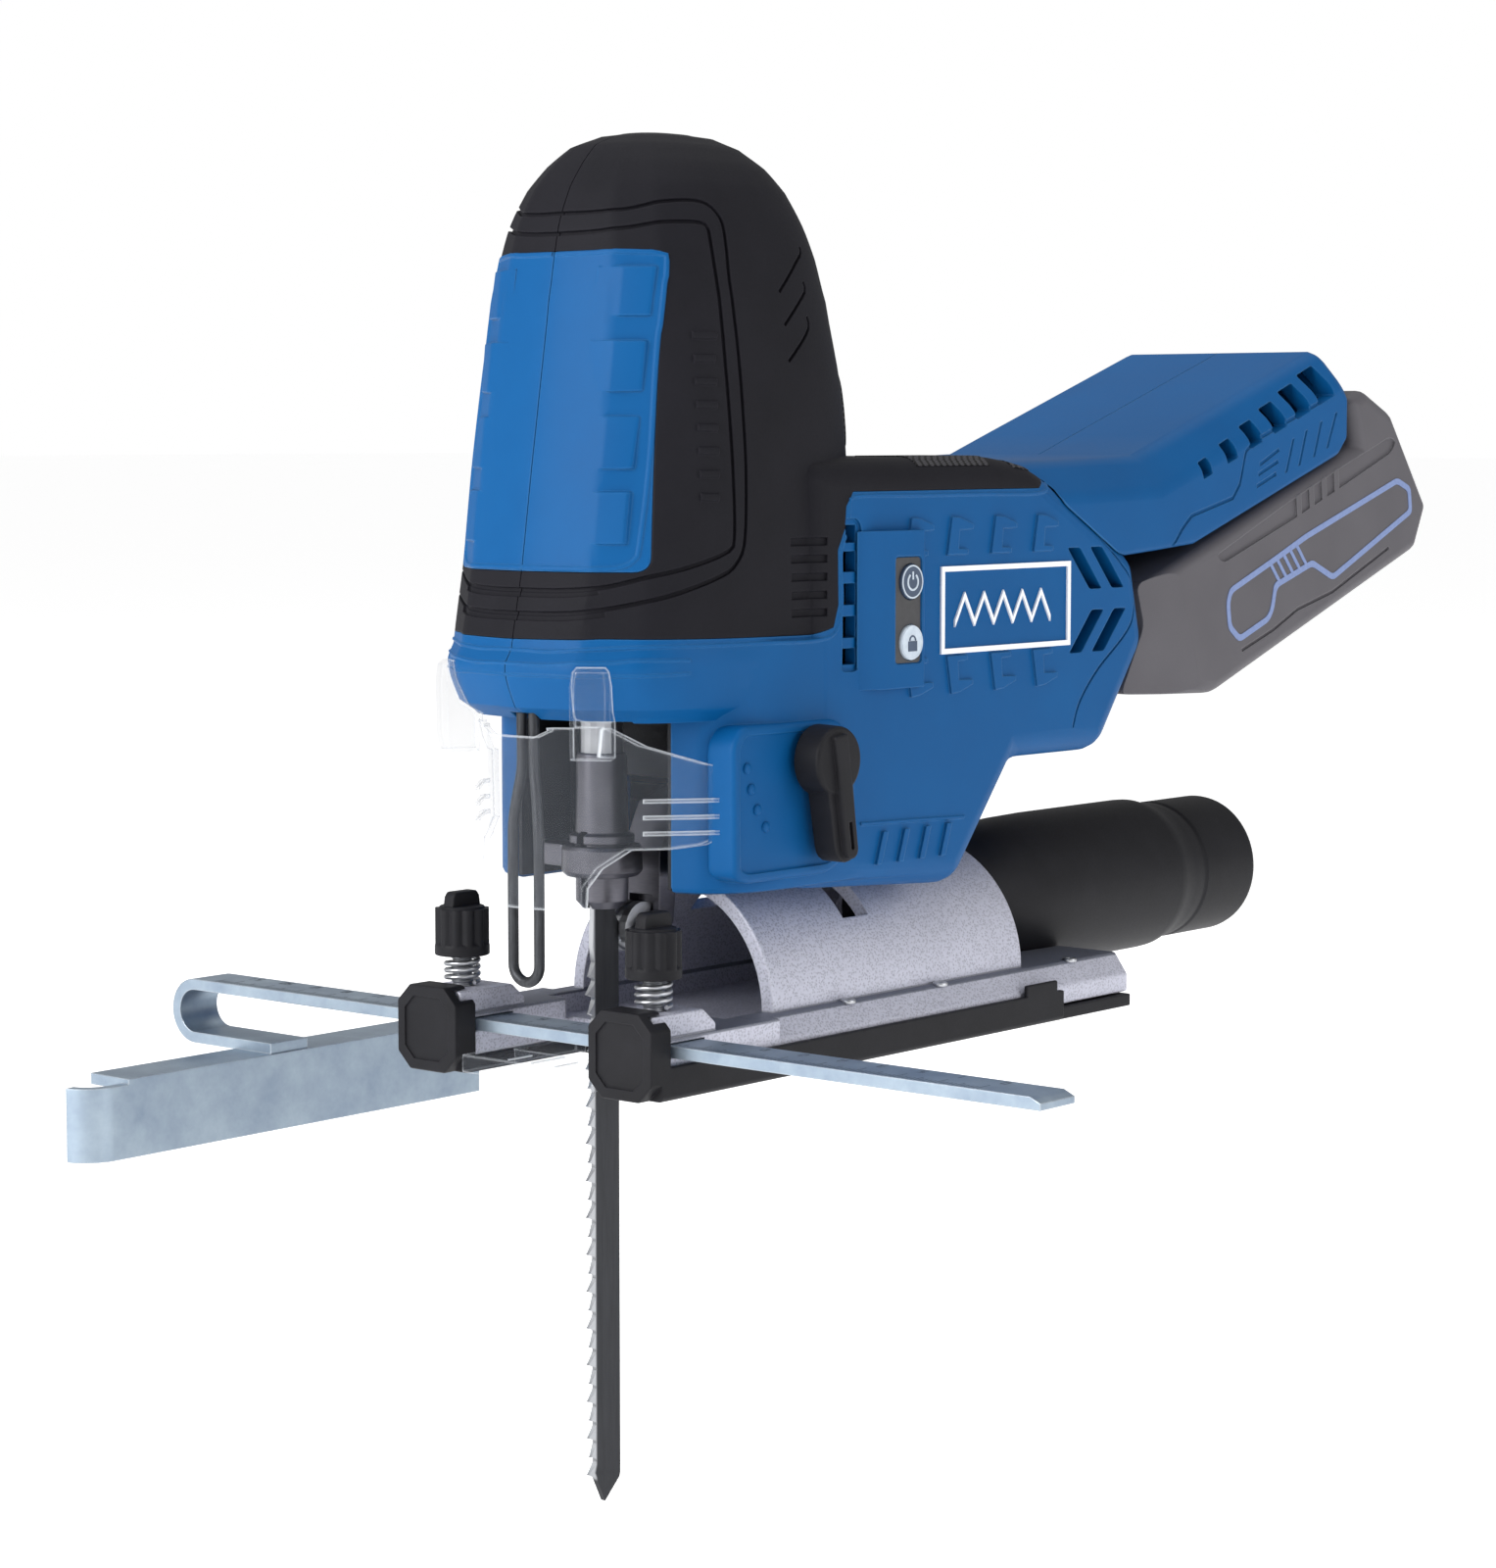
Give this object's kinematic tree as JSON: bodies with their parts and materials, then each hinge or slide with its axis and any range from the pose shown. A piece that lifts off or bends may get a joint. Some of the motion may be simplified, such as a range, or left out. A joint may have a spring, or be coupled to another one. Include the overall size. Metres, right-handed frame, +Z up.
{
  "type": "cordless jigsaw",
  "caption": "Battery jigsaw with an upright soft grip, tilting cast sole, guarded blade, sliding edge fence, dust pipe and sloping slide-on pack.",
  "frame": {"origin": "middle of the sole's underside, on the blade's centre plane", "axes": "+X to the tool's left, +Y to its back along the sole, +Z up square to the sole"},
  "size_m": [0.2443, 0.3544, 0.2918],
  "materials": {
    "blue_plastic": "fine moulded texture, satin",
    "soft_black": "matt soft overmould",
    "black_plastic": "fine texture, satin",
    "cast_silver": "die casting with fine speckled silver paint",
    "zinc_steel": "zinc plated sheet steel",
    "bright_steel": "turned and ground",
    "blade_steel": "blackened, ground teeth",
    "gear_steel": "machined, oiled",
    "clear_plastic": "clear polycarbonate",
    "pack_grey": "fine moulded texture",
    "copper": "enamelled winding wire",
    "board_green": "solder resist",
    "bronze": "sintered bronze",
    "cell_green": "sleeved lithium-ion cells",
    "white_print": "smooth plate"
  },
  "bodies": {
    "base": {"sole_plate": "cast_silver", "glide_shoe": "black_plastic", "sight_insert": "clear_plastic", "knob_spring_left": "bright_steel", "knob_spring_right": "bright_steel"},
    "fence": {"fence": "zinc_steel"},
    "knob_left": {"knob_left": "black_plastic", "stud_left": "bright_steel"},
    "knob_right": {"knob_right": "black_plastic", "stud_right": "bright_steel"},
    "dust_port": {"dust_port": "black_plastic"},
    "housing": {"housing_left": "blue_plastic", "housing_right": "blue_plastic", "grip_left": "soft_black", "grip_right": "soft_black", "panel_left": "blue_plastic", "panel_right": "blue_plastic", "battery_mount_left": "blue_plastic", "battery_mount_right": "blue_plastic", "terminal_block": "bronze", "control_panel": "blue_plastic", "nameplate": "white_print", "wire_guard": "black_plastic", "gear_frame": "cast_silver", "gear_axle": "bright_steel", "lower_guide": "bronze", "upper_guide": "bronze", "stator": "gear_steel", "winding_front": "copper", "winding_rear": "copper", "bearing_front": "bright_steel", "bearing_rear": "bright_steel", "control_board": "board_green", "switch_board": "board_green", "orbit_pin": "bright_steel", "tilt_clamp_plate": "bright_steel", "tilt_clamp_bolt": "bright_steel"},
    "plunger": {"plunger": "bright_steel", "yoke": "gear_steel", "blade_clamp": "bright_steel", "blade": "blade_steel"},
    "clamp_collar": {"clamp_collar": "bright_steel"},
    "drive_gear": {"drive_gear": "gear_steel"},
    "rotor": {"rotor_shaft": "gear_steel", "rotor_core": "gear_steel", "fan": "black_plastic"},
    "orbit_selector": {"orbit_knob": "black_plastic", "orbit_shaft": "gear_steel"},
    "orbit_arm": {"orbit_arm": "gear_steel", "roller_pin": "bright_steel"},
    "roller": {"roller": "bright_steel"},
    "power_button": {"power_button": "black_plastic"},
    "lock_button": {"lock_button": "black_plastic"},
    "battery": {"battery_case": "pack_grey", "battery_tray": "pack_grey", "cell_pack": "cell_green"},
    "release_button": {"release_button": "black_plastic"},
    "chip_cover": {"chip_cover": "clear_plastic"}
  },
  "joints": [
    {"name": "fence_slide", "type": "slide", "parent": "base", "child": "fence", "axis": [1, 0, 0], "range_m": [-0.085, 0.04]},
    {"name": "knob_left_turn", "type": "hinge", "parent": "base", "child": "knob_left", "pos_m": [0.0274, -0.0755, 0.024], "axis": [0, 0, 1], "range_deg": [0, 330]},
    {"name": "knob_right_turn", "type": "hinge", "parent": "base", "child": "knob_right", "pos_m": [-0.0274, -0.0755, 0.024], "axis": [0, 0, 1], "range_deg": [0, 330]},
    {"name": "dust_port_pull", "type": "slide", "parent": "base", "child": "dust_port", "axis": [0, 1, 0], "range_m": [0, 0.06]},
    {"name": "base_tilt", "type": "hinge", "parent": "base", "child": "housing", "pos_m": [0, 0, 0.0123], "axis": [0, 1, 0], "range_deg": [-45, 45]},
    {"name": "plunger_stroke", "type": "slide", "parent": "housing", "child": "plunger", "axis": [0, 0, 1], "range_m": [-0.0015, 0.0245]},
    {"name": "collar_turn", "type": "hinge", "parent": "plunger", "child": "clamp_collar", "pos_m": [0, -0.061, 0.0458], "axis": [0, 0, 1], "range_deg": [0, 45], "stiffness_Nm_per_rad": 0.03},
    {"name": "gear_spin", "type": "hinge", "parent": "housing", "child": "drive_gear", "pos_m": [0, -0.0464, 0.1243], "axis": [0, 1, 0], "continuous": true},
    {"name": "rotor_spin", "type": "hinge", "parent": "housing", "child": "rotor", "pos_m": [0, -0.001, 0.096], "axis": [0, 1, 0], "continuous": true},
    {"name": "orbit_select", "type": "hinge", "parent": "housing", "child": "orbit_selector", "pos_m": [0.0385, -0.0366, 0.067], "axis": [-1, 0, 0], "range_deg": [0, 95]},
    {"name": "orbit_swing", "type": "hinge", "parent": "housing", "child": "orbit_arm", "pos_m": [0, -0.028, 0.056], "axis": [1, 0, 0], "range_deg": [0, 3]},
    {"name": "roller_spin", "type": "hinge", "parent": "orbit_arm", "child": "roller", "pos_m": [0, -0.0514, 0.03], "axis": [1, 0, 0], "continuous": true},
    {"name": "power_press", "type": "slide", "parent": "housing", "child": "power_button", "axis": [-1, 0, 0], "range_m": [0, 0.0007], "stiffness_N_per_m": 300},
    {"name": "lock_press", "type": "slide", "parent": "housing", "child": "lock_button", "axis": [-1, 0, 0], "range_m": [0, 0.0007], "stiffness_N_per_m": 300},
    {"name": "battery_slide", "type": "slide", "parent": "housing", "child": "battery", "axis": [0, 0.9455, 0.3256], "range_m": [0, 0.11]},
    {"name": "release_press", "type": "slide", "parent": "battery", "child": "release_button", "axis": [0, 0.3256, -0.9455], "range_m": [0, 0.0018], "stiffness_N_per_m": 400},
    {"name": "cover_pull", "type": "slide", "parent": "housing", "child": "chip_cover", "axis": [0, -1, 0], "range_m": [0, 0.04]}
  ],
  "couplings": [
    {"joint": "rotor_spin", "follows": "gear_spin", "ratio": -6}
  ]
}
